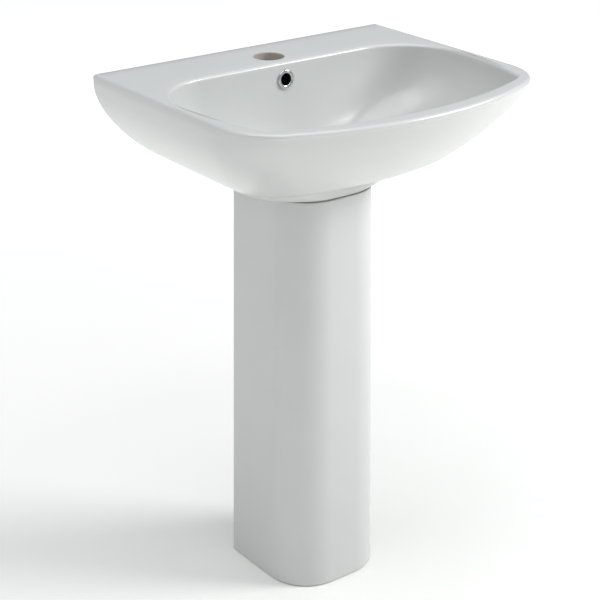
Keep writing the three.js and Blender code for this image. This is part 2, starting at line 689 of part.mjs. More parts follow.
const drainLine = new THREE.Group();
drainLine.position.y = DRAIN_Y;
drainLine.add(
  piece("waste_body", wasteBody(), CHROME),
  piece("waste_flange_seal", wasteFlangeSeal(), RUBBER),
  piece("waste_cone_seal", wasteConeSeal(), RUBBER),
  piece("waste_back_nut", wasteBackNut(), BRASS),
  piece("plug_cap", plugCap(), CHROME),
  piece("plug_seal", plugSeal(), RUBBER),
  piece("plug_stem", plugStem(), BRASS),
  piece("plug_cartridge", plugCartridge(), BRASS),
  piece("plug_spring", plugSpring(), STEEL),
  piece("trap_coupling_nut", couplingNut(), WHITE_PLASTIC),
  piece("trap_coupling_washer", couplingWasher(), RUBBER),
  piece("trap_inlet_tube", trapInletTube(), WHITE_PLASTIC),
  piece("trap_body_nut", bodyNut(), WHITE_PLASTIC),
  piece("trap_body_washer", bodyWasher(), RUBBER),
  piece("trap_body", trapBody(), WHITE_PLASTIC),
  piece("trap_cup", trapCup(), WHITE_PLASTIC),
  piece("trap_cup_seal", trapCupSeal(), RUBBER),
);
sink.add(drainLine);

const outletLine = new THREE.Group();
outletLine.position.set(0, DRAIN_Y, TRAP_OUTLET_Z);
outletLine.rotation.x = -Math.PI / 2;
outletLine.add(
  piece("trap_outlet_nut", outletNut(), WHITE_PLASTIC),
  piece("trap_outlet_washer", outletWasher(), RUBBER),
  piece("outlet_pipe", outletPipe(), WHITE_PLASTIC),
);
sink.add(outletLine);

for (const [side, place] of [["left", -1], ["right", 1]]) {
  const fixing = new THREE.Group();
  fixing.position.set(place * WALL_FIXING.spread, WALL_Y, WALL_FIXING.z);
  fixing.rotation.x = Math.PI / 2; // out of the wall
  fixing.add(
    piece(`wall_stud_${side}`, wallStud(), STEEL),
    piece(`wall_sleeve_${side}`, wallSleeve(), GREY_PLASTIC),
    piece(`wall_washer_${side}`, wallWasher(), STEEL),
    piece(`wall_nut_${side}`, wallNut(), STEEL),
  );
  sink.add(fixing);
}

export default sink;
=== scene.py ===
"""Pedestal sink: glazed basin and pedestal, chrome overflow ring and push plug, brass and plastic
waste fittings, and wall fixings. Metres, +Z up, +Y towards the wall, floor at z = 0."""

import math

import bmesh
import bpy
from mathutils import Matrix, Vector


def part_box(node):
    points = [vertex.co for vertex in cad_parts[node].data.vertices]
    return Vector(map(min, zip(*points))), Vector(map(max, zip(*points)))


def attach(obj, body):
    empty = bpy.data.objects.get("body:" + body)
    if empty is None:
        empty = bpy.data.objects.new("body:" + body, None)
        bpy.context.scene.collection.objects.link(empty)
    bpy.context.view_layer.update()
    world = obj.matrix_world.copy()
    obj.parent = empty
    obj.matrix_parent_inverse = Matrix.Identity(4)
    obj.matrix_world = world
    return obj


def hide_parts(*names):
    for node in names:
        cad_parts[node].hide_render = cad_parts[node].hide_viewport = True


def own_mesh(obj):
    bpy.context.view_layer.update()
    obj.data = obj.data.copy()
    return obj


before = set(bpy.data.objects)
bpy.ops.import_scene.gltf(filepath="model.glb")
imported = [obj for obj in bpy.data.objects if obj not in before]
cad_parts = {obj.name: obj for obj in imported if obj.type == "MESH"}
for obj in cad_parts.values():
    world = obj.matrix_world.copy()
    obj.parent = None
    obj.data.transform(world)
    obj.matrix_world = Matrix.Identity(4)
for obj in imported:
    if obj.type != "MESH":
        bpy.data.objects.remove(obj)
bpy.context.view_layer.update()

MM = 0.001
ROOT, PLUG, CUP_RING, CUP = "sink", "plug", "cup_ring", "cup"

# ---------------------------------------------------------------- driving dimensions, in mm
BASIN_LOW, BASIN_HIGH = (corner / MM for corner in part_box("basin"))
WALL_Y = BASIN_HIGH.y
HEIGHT = BASIN_HIGH.z
SEAM_Z = BASIN_LOW.z

# The hull's four control outlines from the rim down to the seam.
HULL_HALF = (277.5, 298, 163, 89.5)
HULL_REACH = (462, 441.5, 295, 262)
HULL_Z = (HEIGHT, 792, 677, SEAM_Z)
HULL_BOW = 553
RIM_CORNER, SEAM_CORNER = 96, 66
RIM_EDGE = 5
BACK_EDGE_SHARE = 0.4  # the back's top edge is rounded less than the rim
EDGE_PART = 0.035  # how much of the hull's curve the rounded rim takes up
# The neck above the seam: straight up at the front centre, and gone at the sides.
NECK_HEIGHT, NECK_BLEND, NECK_BACK_REACH = 18, 26, 190
HULL_WALL = 12
DECK_THICKNESS = 14
APRON_THICKNESS, APRON_BOTTOM = 12, 762

BOWL = dict(
    half=262, front=433, back=113, bow=585, side=561, side_reach=213, corner=24, back_corner=108,
)
BOWL_DEPTH = 135
BOWL_SIDE_FULLNESS, BOWL_FRONT_FULLNESS = 2.4, 1.75
BOWL_ROUNDNESS = 0.3
BOWL_MEAN_RADIUS = 190
BOWL_FLOOR_RADIUS = 40
BOWL_SHELL = 11
FLOOR_Z = HEIGHT - BOWL_DEPTH

PEDESTAL_TOP = (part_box("pedestal")[1] / MM).z
PEDESTAL = dict(half=88.5, back=95, front=263.7, bow=900, corner=66, back_corner=2)
PEDESTAL_WALL = 12
PEDESTAL_FLARE = 1.094
RETURN_WIDTH, RETURN_DEPTH = 11, 15
FOOT_EDGE, TOP_EDGE = 3.5, 2

TAP_HOLE_REACH, TAP_HOLE_RADIUS, TAP_HOLE_EDGE = 69, 24, 1.5
CHANNEL_WIDTH, CHANNEL_GAP, CHANNEL_SHELL = 36, 12, 7
CHANNEL_REACH, CHANNEL_TOP, CHANNEL_BEND_Z, CHANNEL_END_Z = 97, 830, 715, 699
CHANNEL_END_OFFSET = 14.6  # from the drain's axis to the passage's end
OVERFLOW_Z, OVERFLOW_RADIUS = 823, 11
OVERFLOW_SEAT = 1.2  # how far the bowl's back leans forward by the overflow's height
OVERFLOW_TILT = Matrix.Rotation(-0.07, 4, "X")
DRAIN_RADIUS, RECESS_RADIUS, RECESS_DEPTH = 22.6, 34, 3.5
BOSS_RADIUS, BOSS_LOW = 46, 686
HOLLOW_REACH = 250
BOLT_HOLE_RADIUS = 9
GASKET_MARGIN, GASKET_SOFTENING = 3, 0.4

# How far cutters run past what they cut.
PAST_WALL, CLEAR, OUTSIDE, BELOW = 20, 10, 400, 600
STRAIGHT = 20000  # the radius of a side that is straight to the eye
SIDE_MIDDLE = 200  # how far from the wall a straight side has its middle
SHARP_ANGLE = 35


def centre_of(node):
    low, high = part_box(node)
    return (low + high) / 2 / MM


DRAIN_Y = centre_of("waste_body").y
WALL_FIXINGS = [centre_of(f"wall_stud_{side}") for side in ("left", "right")]


def from_wall(reach):
    return WALL_Y - reach


# ---------------------------------------------------------------- outlines
def quarter(steps):
    """The angles of a quarter turn, from nothing up."""
    return [step / steps * math.pi / 2 for step in range(steps + 1)]


def without_doubles(points):
    """A closed outline, less the points that repeat the one before."""
    return [point for index, point in enumerate(points) if (point - points[index - 1]).length > 0.01]


def arc(centre, radius, start, end, steps):
    """Points of an arc, without its last one."""
    turns = (start + (end - start) * i / steps for i in range(steps))
    return [centre + radius * Vector((math.cos(t), math.sin(t))) for t in turns]


def bearing(start, end):
    return math.atan2(end.y - start.y, end.x - start.x)


def meeting_point(first, first_radius, second, second_radius):
    """The frontmost point at those distances from two centres."""
    between = second - first
    span = between.length
    along = (first_radius**2 - second_radius**2 + span**2) / (2 * span)
    across = math.sqrt(first_radius**2 - along**2)
    unit = between / span
    base = first + unit * along
    side = Vector((-unit.y, unit.x)) * across
    return min(base + side, base - side, key=lambda point: point.y)


def right_half(shape, fine):
    """The right half of a D-shaped outline, from its front centre round to its back corner."""
    half, front, back, bow = shape["half"], shape["front"], shape["back"], shape["bow"]
    corner, back_corner = shape["corner"], shape["back_corner"]
    side = shape.get("side", STRAIGHT)
    bow_centre = Vector((0, from_wall(front) + bow))
    side_centre = Vector((half - side, from_wall(shape.get("side_reach", SIDE_MIDDLE))))
    corner_centre = meeting_point(bow_centre, bow - corner, side_centre, side - corner)
    back_y = from_wall(back) - back_corner
    back_span = math.sqrt((side - back_corner) ** 2 - (back_y - side_centre.y) ** 2)
    back_centre = Vector((side_centre.x + back_span, back_y))
    corner_start, corner_end = bearing(bow_centre, corner_centre), bearing(side_centre, corner_centre)
    side_end = bearing(side_centre, back_centre)
    return (
        arc(bow_centre, bow, -math.pi / 2, corner_start, 8 * fine)
        + arc(corner_centre, corner, corner_start, corner_end, 6 * fine)
        + arc(side_centre, side, corner_end, side_end, 5 * fine)
        + arc(back_centre, back_corner, side_end, math.pi / 2, 5 * fine)
        + [back_centre + Vector((0, back_corner))]
    )


def mirrored(points):
    return [Vector((-point.x, point.y)) for point in reversed(points)]


def outline(shape, z, fine=3):
    """The whole outline, anticlockwise from its front centre, at a height."""
    right = right_half(shape, fine)
    steps = 3 * fine
    back = [right[-1].lerp(Vector((0, right[-1].y)), i / steps) for i in range(1, steps + 1)]
    flat = right + back + mirrored(right[1:] + back[:-1])
    return [Vector((point.x, point.y, z)) for point in flat]


def inset(shape, margin):
    """The outline drawn in by a margin all round; a negative margin draws it out."""
    drawn = dict(shape)
    for name in ("half", "front", "bow", "corner"):
        drawn[name] -= margin
    if "side" in drawn:
        drawn["side"] -= margin
    drawn["back"] += margin
    drawn["back_corner"] = max(drawn["back_corner"] - margin, 1)
    return drawn


def lerp(start, end, part):
    return start + (end - start) * part


def bezier(controls, part):
    rest = 1 - part
    a, b, c, d = controls
    return a * rest**3 + 3 * b * rest**2 * part + 3 * c * rest * part**2 + d * part**3


# ---------------------------------------------------------------- mesh tools
def loft(rings, closed=False):
    """Draws the first closed outline through all the others, and caps the two ends or joins them."""
    bm = bmesh.new()
    place = bm.verts.layers.int.new("place")
    start = bmesh.ops.create_circle(bm, segments=len(rings[0]), radius=1)["verts"]
    for index, vert in enumerate(start):
        vert[place] = index
        vert.co = rings[0][index]
    first = list(bm.edges)
    edges = first
    for points in rings[1:]:
        grown = bmesh.ops.extrude_edge_only(bm, edges=edges)["geom"]
        edges = [item for item in grown if isinstance(item, bmesh.types.BMEdge) and item.is_boundary]
        for vert in {vert for edge in edges for vert in edge.verts}:
            vert.co = points[vert[place]]
    if closed:
        bmesh.ops.bridge_loops(bm, edges=first + edges)
    else:
        bmesh.ops.edgeloop_fill(bm, edges=first)
        bmesh.ops.edgeloop_fill(bm, edges=edges)
    return bm


def finished(bm, name, smooth_below=SHARP_ANGLE):
    """A mesh object from a bmesh in mm, shaded smooth where its faces meet at a small angle."""
    bmesh.ops.remove_doubles(bm, verts=bm.verts, dist=0.001)
    bmesh.ops.recalc_face_normals(bm, faces=bm.faces)
    bmesh.ops.scale(bm, vec=(MM, MM, MM), verts=bm.verts)
    mesh = bpy.data.meshes.new(name)
    bm.to_mesh(mesh)
    bm.free()
    piece = bpy.data.objects.new(name, mesh)
    bpy.context.scene.collection.objects.link(piece)
    mesh.shade_smooth()
    mesh.set_sharp_from_angle(angle=math.radians(smooth_below))
    return piece


def combine(piece, tool, operation, skin=None):
    """Joins, cuts or keeps the common part of two closed pieces; the second is used up and its
    faces keep its own skin."""
    if skin:
        tool.data.materials.append(skin)
    step = piece.modifiers.new("combine", "BOOLEAN")
    step.operation, step.solver, step.object = operation, "MANIFOLD", tool
    step.material_mode = "TRANSFER"
    made = bpy.data.meshes.new_from_object(piece.evaluated_get(bpy.context.evaluated_depsgraph_get()))
    piece.modifiers.remove(step)
    piece.data = made
    bpy.data.objects.remove(tool)
    return piece


def block(low, high, name="block"):
    bm = bmesh.new()
    bmesh.ops.create_cube(bm, size=1)
    size = Vector(high) - Vector(low)
    bmesh.ops.scale(bm, vec=size, verts=bm.verts)
    bmesh.ops.translate(bm, vec=Vector(low) + size / 2, verts=bm.verts)
    return finished(bm, name)


def spun(profile, facets, closed=True):
    """A profile of (radius, height) points turned about Z."""
    bm = bmesh.new()
    verts = [bm.verts.new((radius, 0, height)) for radius, height in profile]
    pairs = list(zip(verts, verts[1:])) + ([(verts[-1], verts[0])] if closed else [])
    edges = [bm.edges.new(pair) for pair in pairs]
    bmesh.ops.spin(
        bm, geom=verts + edges, cent=(0, 0, 0), axis=(0, 0, 1), dvec=(0, 0, 0),
        angle=2 * math.pi, steps=facets, use_merge=True,
    )
    bmesh.ops.remove_doubles(bm, verts=bm.verts, dist=0.001)
    bmesh.ops.dissolve_degenerate(bm, edges=bm.edges, dist=0.0005)
    return bm


def moved(bm, matrix):
    bmesh.ops.transform(bm, matrix=matrix, verts=bm.verts)
    return bm


def rod(radius, low, high, facets=64):
    return spun([(0, low), (radius, low), (radius, high), (0, high)], facets, closed=False)


def rounded(profile, radius):
    """A closed profile with every corner off the axis rounded by up to a radius."""
    steps = 3
    made = []
    for index, corner in enumerate(profile):
        before, here = Vector(profile[index - 1]), Vector(corner)
        after = Vector(profile[(index + 1) % len(profile)])
        if here.x < 0.01:
            made.append(tuple(here))
            continue
        room = min((before - here).length, (after - here).length) * 0.45
        cut = min(radius, room)
        start = here + (before - here).normalized() * cut
        end = here + (after - here).normalized() * cut
        for step in range(steps + 1):
            part = step / steps
            made.append(tuple(start.lerp(here, part).lerp(here.lerp(end, part), part)))
    return made


TO_WALL = Matrix.Rotation(-math.pi / 2, 4, "X")  # a piece made along Z then points to the wall
FROM_WALL = Matrix.Rotation(math.pi / 2, 4, "X")


def fit(piece, body, slot, material, *nodes):
    """Puts a finished piece on its body, in place of its CAD nodes."""
    if not any(piece.data.materials):
        piece.data.materials.clear()
        piece.data.materials.append(material)
    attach(piece, body)
    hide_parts(*nodes)
    return piece


# ---------------------------------------------------------------- materials
def linear(hex_colour):
    """An sRGB hex colour as a linear RGBA value."""
    parts = [int(hex_colour[i : i + 2], 16) / 255 for i in (1, 3, 5)]
    return (*(p / 12.92 if p <= 0.04045 else ((p + 0.055) / 1.055) ** 2.4 for p in parts), 1)


def add(tree, kind, links=(), ramp=(), **settings):
    """Adds a node, sets its sockets and properties by name, gives a colour ramp its end colours,
    and links (socket, source) pairs."""
    node = tree.nodes.new(kind)
    for name, value in settings.items():
        socket = node.inputs.get(name.replace("_", " "))
        if socket is None:
            setattr(node, name.lower(), value)
        else:
            socket.default_value = value
    for element, colour in enumerate(ramp):
        node.color_ramp.elements[element].color = linear(colour)
    for name, source in links:
        tree.links.new(node.inputs[name], source)
    return node


def new_material(name):
    """An empty material, its node tree, and the piece's own coordinates in metres."""
    material = bpy.data.materials.new(name)
    material.use_nodes = True
    tree = material.node_tree
    tree.nodes.clear()
    return material, tree, add(tree, "ShaderNodeTexCoord").outputs["Object"]


def glazed_china():
    """Vitreous china under a clear fired glaze: a soft pale body, a clear reflection that the
    coat spreads a little, and the faint slow ripple that a poured glaze leaves. The body is
    darker than real china, to suit the strength of this studio's lights."""
    material, tree, place = new_material("glazed_vitreous_china")
    cloud = add(tree, "ShaderNodeTexNoise", [("Vector", place)], Scale=1000 / 90, Detail=3)
    body = add(tree, "ShaderNodeValToRGB", [("Fac", cloud.outputs["Fac"])], ("#C8CAC8", "#CED0CE"))
    speck = add(tree, "ShaderNodeTexNoise", [("Vector", place)], Scale=1000 / 14, Detail=4)
    sheen = add(tree, "ShaderNodeMapRange", [("Value", speck.outputs["Fac"])], To_Min=0.28, To_Max=0.36)
    ripple = add(tree, "ShaderNodeTexNoise", [("Vector", place)], Scale=1000 / 38, Detail=1)
    bump = add(tree, "ShaderNodeBump", [("Height", ripple.outputs["Fac"])], Strength=1, Distance=0.05 * MM)
    shader = add(
        tree, "ShaderNodeBsdfPrincipled",
        [
            ("Base Color", body.outputs["Color"]), ("Roughness", sheen.outputs["Result"]),
            ("Normal", bump.outputs["Normal"]),
        ],
        IOR=1.5, Coat_Weight=0.7, Coat_Roughness=0.2, Coat_IOR=1.52,
    )
    add(tree, "ShaderNodeOutputMaterial", [("Surface", shader.outputs["BSDF"])])
    return material


def bare_china(name, colours, roughness, grain_mm, relief_mm, detail):
    """Unglazed fired body: matt and a little grainy."""
    material, tree, place = new_material(name)
    grain = add(
        tree, "ShaderNodeTexNoise", [("Vector", place)],
        Scale=1000 / grain_mm, Detail=detail,
    )
    body = add(tree, "ShaderNodeValToRGB", [("Fac", grain.outputs["Fac"])], colours)
    bump = add(
        tree, "ShaderNodeBump", [("Height", grain.outputs["Fac"])], Strength=1, Distance=relief_mm * MM,
    )
    shader = add(
        tree, "ShaderNodeBsdfPrincipled",
        [("Base Color", body.outputs["Color"]), ("Normal", bump.outputs["Normal"])],
        Roughness=roughness,
    )
    add(tree, "ShaderNodeOutputMaterial", [("Surface", shader.outputs["BSDF"])])
    return material


def metal(name, colours, roughness, grain_mm, relief_mm):
    """Bare or plated metal, with tone and polish that drift together over a grain size."""
    material, tree, place = new_material(name)
    cloud = add(tree, "ShaderNodeTexNoise", [("Vector", place)], Scale=1000 / grain_mm, Detail=4)
    tone = add(tree, "ShaderNodeValToRGB", [("Fac", cloud.outputs["Fac"])], colours)
    low, high = roughness
    polish = add(tree, "ShaderNodeMapRange", [("Value", cloud.outputs["Fac"])], To_Min=low, To_Max=high)
    fine = add(tree, "ShaderNodeTexNoise", [("Vector", place)], Scale=1000 / (grain_mm / 4), Detail=2)
    bump = add(
        tree, "ShaderNodeBump", [("Height", fine.outputs["Fac"])], Strength=1, Distance=relief_mm * MM,
    )
    shader = add(
        tree, "ShaderNodeBsdfPrincipled",
        [
            ("Base Color", tone.outputs["Color"]), ("Roughness", polish.outputs["Result"]),
            ("Normal", bump.outputs["Normal"]),
        ],
        Metallic=1,
    )
    add(tree, "ShaderNodeOutputMaterial", [("Surface", shader.outputs["BSDF"])])
    return material


def moulded(name, colours, roughness, grain_mm, relief_mm):
    """Moulded plastic or rubber: a slow drift of tone under the fine grain of the mould."""
    material, tree, place = new_material(name)
    cloud = add(tree, "ShaderNodeTexNoise", [("Vector", place)], Scale=1000 / (grain_mm * 8), Detail=2)
    tone = add(tree, "ShaderNodeValToRGB", [("Fac", cloud.outputs["Fac"])], colours)
    grain = add(tree, "ShaderNodeTexNoise", [("Vector", place)], Scale=1000 / grain_mm, Detail=3)
    sheen = add(
        tree, "ShaderNodeMapRange", [("Value", grain.outputs["Fac"])],
        To_Min=roughness - 0.05, To_Max=roughness + 0.05,
    )
    bump = add(
        tree, "ShaderNodeBump", [("Height", grain.outputs["Fac"])], Strength=1, Distance=relief_mm * MM,
    )
    shader = add(
        tree, "ShaderNodeBsdfPrincipled",
        [
            ("Base Color", tone.outputs["Color"]), ("Roughness", sheen.outputs["Result"]),
            ("Normal", bump.outputs["Normal"]),
        ],
    )
    add(tree, "ShaderNodeOutputMaterial", [("Surface", shader.outputs["BSDF"])])
    return material


CHINA = glazed_china()
# The matt, slightly cream body under the foot, under the deck and in the cut holes.
BARE_CHINA = bare_china("bare_vitreous_china", ("#A39D96", "#B5AFA8"), 0.75, 3, 0.08, 5)
# The overflow's passage, in painted shade: it is nearly black to stand for a depth that light
# doesn't reach; the real one is pale china.
PAINTED_SHADE_PASSAGE = bare_china("overflow_passage_painted_shade", ("#1D1B1A", "#2B2927"), 0.85, 4, 0.1, 4)
# A bright mirror with hardly any wear.
CHROME = metal("polished_chrome_plate", ("#C9CBCD", "#D6D8DA"), (0.05, 0.10), 20, 0.002)
# Warm yellow, with the blurred shine of a lathe finish.
BRASS = metal("turned_brass", ("#B8924A", "#CFAE66"), (0.22, 0.34), 6, 0.01)
# A cool, slightly cloudy grey.
ZINC = metal("bright_zinc_plate", ("#9EA4A8", "#B9BEC1"), (0.28, 0.42), 4, 0.01)
# Smooth off-white with a soft shine.
WHITE_PLASTIC = moulded("moulded_polypropylene", ("#E3E4E2", "#EBECEA"), 0.32, 2.0, 0.01)
# Dull mid grey.
GREY_PLASTIC = moulded("moulded_nylon", ("#7E8184", "#8C8F92"), 0.5, 1.5, 0.02)
# Nearly black and matt.
RUBBER = moulded("black_nitrile_rubber", ("#17181A", "#222426"), 0.7, 1.0, 0.02)
# A pale, faintly shiny seal. It keeps the seam light, where the CAD seal is dark rubber.
SILICONE = moulded("pale_silicone_rubber", ("#B4B7B5", "#C0C3C1"), 0.45, 3.0, 0.02)


# ---------------------------------------------------------------- basin
def hull(wall=0.0, top=HEIGHT, rise=0.0, back=0.0, steps=44, fine=3):
    """The hull, held inside the CAD basin's width, or its inner face when it is drawn in by a
    wall thickness."""
    lifts = (top - HEIGHT, -wall / 2, rise, rise)
    halves = [half - wall for half in HULL_HALF]
    reaches = [reach - wall for reach in HULL_REACH]
    heights = [z + lift for z, lift in zip(HULL_Z, lifts)]

    def section(part):
        half, front = bezier(halves, part), bezier(reaches, part)
        fullness = (half - HULL_HALF[3]) / (HULL_HALF[0] - HULL_HALF[3])
        corner = lerp(SEAM_CORNER, RIM_CORNER, fullness) - wall
        return dict(half=half, front=front, back=back, bow=HULL_BOW, corner=corner, back_corner=6)

    rings = []
    if wall == 0:
        for turn in quarter(6):
            draw = RIM_EDGE * (1 - math.sin(turn))
            rim = inset({**section(0), "back_corner": RIM_EDGE + 2}, draw)
            ring = outline(rim, HEIGHT - RIM_EDGE * (1 - math.cos(turn)), fine)
            for point in ring:
                if point.y > from_wall(RIM_EDGE + 0.5):
                    point.y = WALL_Y - BACK_EDGE_SHARE * draw
            rings.append(ring)
    else:
        rings.append(outline(section(0), bezier(heights, 0), fine))
    first = 0 if wall else EDGE_PART
    for step in range(1, steps + 1):
        part = lerp(first, 1, step / steps)
        rings.append(outline(section(part), bezier(heights, part), fine))
    for point in (point for ring in rings for point in ring):
        point.x = min(max(point.x, BASIN_LOW.x), BASIN_HIGH.x)
    return draw_in_neck(rings, rise)


def draw_in_neck(rings, rise):
    """Draws the lower outlines in to the seam's at the front, so that the hull rolls into a neck."""
    seam = rings[-1]
    seam_half = max(point.x for point in seam)
    low = SEAM_Z + NECK_HEIGHT + rise
    for ring in rings:
        for point, target in zip(ring, seam):
            if target.y < from_wall(NECK_BACK_REACH):
                up = min(max((point.z - low) / NECK_BLEND, 0), 1)
                share = (1 - (target.x / seam_half) ** 2) * (1 - up * up * (3 - 2 * up))
                point.x = lerp(point.x, target.x, share)
                point.y = lerp(point.y, target.y, share)
    return rings


def bowl(shell=0.0, steps=40, fine=3, lid=20.0):
    """The bowl's outlines from the rim down to the floor, or those of its outer skin."""
    rim = inset(BOWL, -shell)
    depth = BOWL_DEPTH + shell
    drain = Vector((0, DRAIN_Y, 0))
    rings = [outline(inset(rim, -RIM_EDGE), HEIGHT + lid, fine)] if lid else []
    for turn in quarter(6):
        draw = -RIM_EDGE * (1 - math.sin(turn))
        rings.append(outline(inset(rim, draw), HEIGHT - RIM_EDGE * (1 - math.cos(turn)), fine))
    rim_points = outline(rim, 0, fine)
    for turn in quarter(steps)[1:]:
        fall = math.sin(turn)
        z = HEIGHT - RIM_EDGE - (depth - RIM_EDGE) * fall
        ring = []
        for point in rim_points:
            away = point - drain
            frontness = max(-away.y / away.length, 0) ** 2
            fullness = lerp(BOWL_SIDE_FULLNESS, BOWL_FRONT_FULLNESS, frontness)
            spread = max(1 - fall**fullness, 0) ** (1 / fullness)
            reach = lerp(away.length, BOWL_MEAN_RADIUS + shell, BOWL_ROUNDNESS * (1 - spread))
            placed = drain + away.normalized() * lerp(BOWL_FLOOR_RADIUS, reach, spread)
            ring.append(Vector((placed.x, placed.y, z)))
        rings.append(ring)
    return rings


def channel(width, gap, top):
    """The overflow's passage behind the bowl, as a bent bar of rectangular section."""
    places = (
        (CHANNEL_REACH, top), (CHANNEL_REACH, CHANNEL_BEND_Z), (CHANNEL_REACH + 3, CHANNEL_END_Z),
        (WALL_Y - DRAIN_Y - CHANNEL_END_OFFSET, CHANNEL_END_Z),
    )
    controls = [Vector((0, from_wall(reach), z)) for reach, z in places]
    steps, near = 14, 0.01
    right = Vector((width / 2, 0, 0))
    rings = []
    for step in range(steps + 1):
        part = step / steps
        here = bezier(controls, part)
        ahead = bezier(controls, min(part + near, 1)) - bezier(controls, max(part - near, 0))
        across = Vector((0, -ahead.z, ahead.y)).normalized() * gap / 2
        corners = (right + across, across - right, -right - across, right - across)
        rings.append([here + corner for corner in corners])
    return rings


def lofted(rings, name):
    return finished(loft(rings), name)


def drain_rod(radius, low, high):
    return finished(moved(rod(radius, low, high, 96), Matrix.Translation((0, DRAIN_Y, 0))), "cutter")


def basin_hollow():
    """The space under the deck and inside the seam, clear of the bowl's shell and the channel."""
    inner = hull(HULL_WALL, HEIGHT - DECK_THICKNESS, rise=HULL_WALL, back=-PAST_WALL, steps=24, fine=2)
    lining = lofted(inner, "hollow")
    rear = block((-OUTSIDE, from_wall(HOLLOW_REACH), BELOW), (OUTSIDE, from_wall(-PAST_WALL), HEIGHT))
    combine(lining, rear, "INTERSECT")
    apron_low = (-OUTSIDE, from_wall(APRON_THICKNESS), APRON_BOTTOM)
    apron = block(apron_low, (OUTSIDE, from_wall(-PAST_WALL - CLEAR), HEIGHT + CLEAR))
    combine(lining, apron, "DIFFERENCE")
    mouth = dict(
        half=HULL_HALF[3] - HULL_WALL, front=HULL_REACH[3] - HULL_WALL, back=-PAST_WALL, bow=HULL_BOW,
        corner=SEAM_CORNER - HULL_WALL, back_corner=1,
    )
    mouth_rings = [outline(mouth, z) for z in (SEAM_Z + 20, SEAM_Z - 20)]
    combine(lining, lofted(mouth_rings, "mouth"), "UNION")
    combine(lining, lofted(bowl(BOWL_SHELL, steps=24, fine=2), "shell"), "DIFFERENCE")
    combine(lining, drain_rod(BOSS_RADIUS, BOSS_LOW, FLOOR_Z + CLEAR / 2), "DIFFERENCE")
    casing = channel(CHANNEL_WIDTH + 2 * CHANNEL_SHELL, CHANNEL_GAP + 2 * CHANNEL_SHELL, HEIGHT - 5)
    return combine(lining, lofted(casing, "casing"), "DIFFERENCE")


def tap_hole():
    """The tap hole's cutter, flared at the top so that the hole gets a rounded edge."""
    low, flared, above = HEIGHT - DECK_THICKNESS - 0.5, TAP_HOLE_RADIUS + TAP_HOLE_EDGE, HEIGHT + CLEAR
    profile = [(0, low), (TAP_HOLE_RADIUS, low)]
    for turn in quarter(8):
        profile.append((
            TAP_HOLE_RADIUS + TAP_HOLE_EDGE * (1 - math.cos(turn)),
            HEIGHT - TAP_HOLE_EDGE * (1 - math.sin(turn)),
        ))
    profile += [(flared, above), (0, above)]
    bm = spun(profile, 96, closed=False)
    return finished(moved(bm, Matrix.Translation((0, from_wall(TAP_HOLE_REACH), 0))), "cutter")


def overflow_at(gap=0):
    """Where the overflow's axis meets the bowl's back, or a gap in front of that."""
    y = from_wall(BOWL["back"] + OVERFLOW_SEAT) - gap
    return Matrix.Translation((0, y, OVERFLOW_Z)) @ OVERFLOW_TILT @ TO_WALL


def make_basin():
    """One skin from the seam up the hull, over the rim, across the deck and down the bowl, then
    the hollow behind and the holes."""
    outer = hull()
    bowl_rings = bowl(lid=0)
    deck = [[a.lerp(b, part / 5) for a, b in zip(outer[0], bowl_rings[0])] for part in range(1, 5)]
    basin = lofted(outer[::-1] + deck + bowl_rings, "basin_china")
    basin.data.materials.append(CHINA)
    combine(basin, basin_hollow(), "DIFFERENCE", BARE_CHINA)
    # The passage and the overflow hole are lined with the nearly black painted shade.
    passage = lofted(channel(CHANNEL_WIDTH, CHANNEL_GAP, CHANNEL_TOP), "passage")
    combine(basin, passage, "DIFFERENCE", PAINTED_SHADE_PASSAGE)
    combine(basin, drain_rod(DRAIN_RADIUS, BELOW, FLOOR_Z + 2 * CLEAR), "DIFFERENCE", CHINA)
    combine(basin, drain_rod(RECESS_RADIUS, FLOOR_Z - RECESS_DEPTH, FLOOR_Z + CLEAR), "DIFFERENCE", CHINA)
    overflow = moved(rod(OVERFLOW_RADIUS, -25, 12), overflow_at())
    combine(basin, finished(overflow, "cutter"), "DIFFERENCE", PAINTED_SHADE_PASSAGE)
    combine(basin, tap_hole(), "DIFFERENCE", BARE_CHINA)
    for fixing in WALL_FIXINGS:
        at = Matrix.Translation((fixing.x, WALL_Y, fixing.z)) @ TO_WALL
        hole = moved(rod(BOLT_HOLE_RADIUS, -APRON_THICKNESS - 5, 5), at)
        combine(basin, finished(hole, "cutter"), "DIFFERENCE", BARE_CHINA)
    basin.data.shade_smooth()
    basin.data.set_sharp_from_angle(angle=math.radians(SHARP_ANGLE))
    return fit(basin, ROOT, "ceramic", CHINA, "basin")


# ---------------------------------------------------------------- pedestal and gasket
def u_section(margin, z):
    """The pedestal's U-shaped outline at a height, open at the back, with a short return at each
    end; it grows towards the floor."""
    edge, fine = 2.0, 3
    outer = right_half(inset(PEDESTAL, margin), fine)
    room = inset(PEDESTAL, PEDESTAL_WALL - margin)
    room["back"] = PEDESTAL["back"] + RETURN_DEPTH - margin
    inner = right_half(room, fine)
    slot = PEDESTAL["half"] - PEDESTAL_WALL - RETURN_WIDTH + margin
    back = from_wall(PEDESTAL["back"] + margin)
    step = from_wall(room["back"])
    end = []
    for corner_y, turn in ((back - edge, 1), (step + edge, 2)):
        centre = Vector((slot + edge, corner_y))
        end += arc(centre, edge, turn * math.pi / 2, (turn + 1) * math.pi / 2, 5)
    right = outer + end + inner[::-1]
    growth = lerp(PEDESTAL_FLARE, 1, z / SEAM_Z)
    origin = from_wall(PEDESTAL["back"])
    flat = without_doubles(right + mirrored(right))
    return [Vector((point.x * growth, origin + (point.y - origin) * growth, z)) for point in flat]


